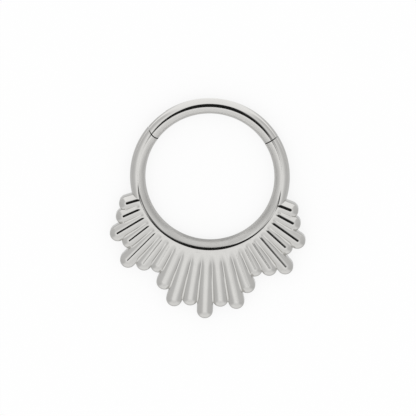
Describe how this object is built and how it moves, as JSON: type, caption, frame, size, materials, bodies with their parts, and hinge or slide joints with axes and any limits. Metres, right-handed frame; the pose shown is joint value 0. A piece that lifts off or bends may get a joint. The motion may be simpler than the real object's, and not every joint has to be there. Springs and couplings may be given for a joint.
{
  "type": "clicker ring",
  "caption": "Hinged steel clicker ring for a piercing, with a sunburst fan of straight domed rays along its lower edge.",
  "frame": {"origin": "under the middle of the outline, on the surface that the ring lies on; the ring's own axis stands at Y 2.525 mm", "axes": "+Z along the ring's axis, out of the decorated front; +Y from the fan towards the hinged segment; +X to the right seen from the front"},
  "size_m": [0.0152, 0.0174, 0.0013],
  "materials": {
    "polished_steel": "bare surgical steel, cast and polished to a mirror",
    "ground_steel": "bare steel pin, its end ground flush"
  },
  "bodies": {
    "fixed_arc": {"ring_body": "polished_steel"},
    "swinging_arc": {"hinged_segment": "polished_steel", "hinge_pin": "ground_steel"}
  },
  "joints": [
    {"name": "segment_hinge", "type": "hinge", "parent": "fixed_arc", "child": "swinging_arc", "pos_m": [-0.00366, 0.00657, 0.0006], "axis": [0, 0, 1], "range_deg": [0, 110]}
  ]
}
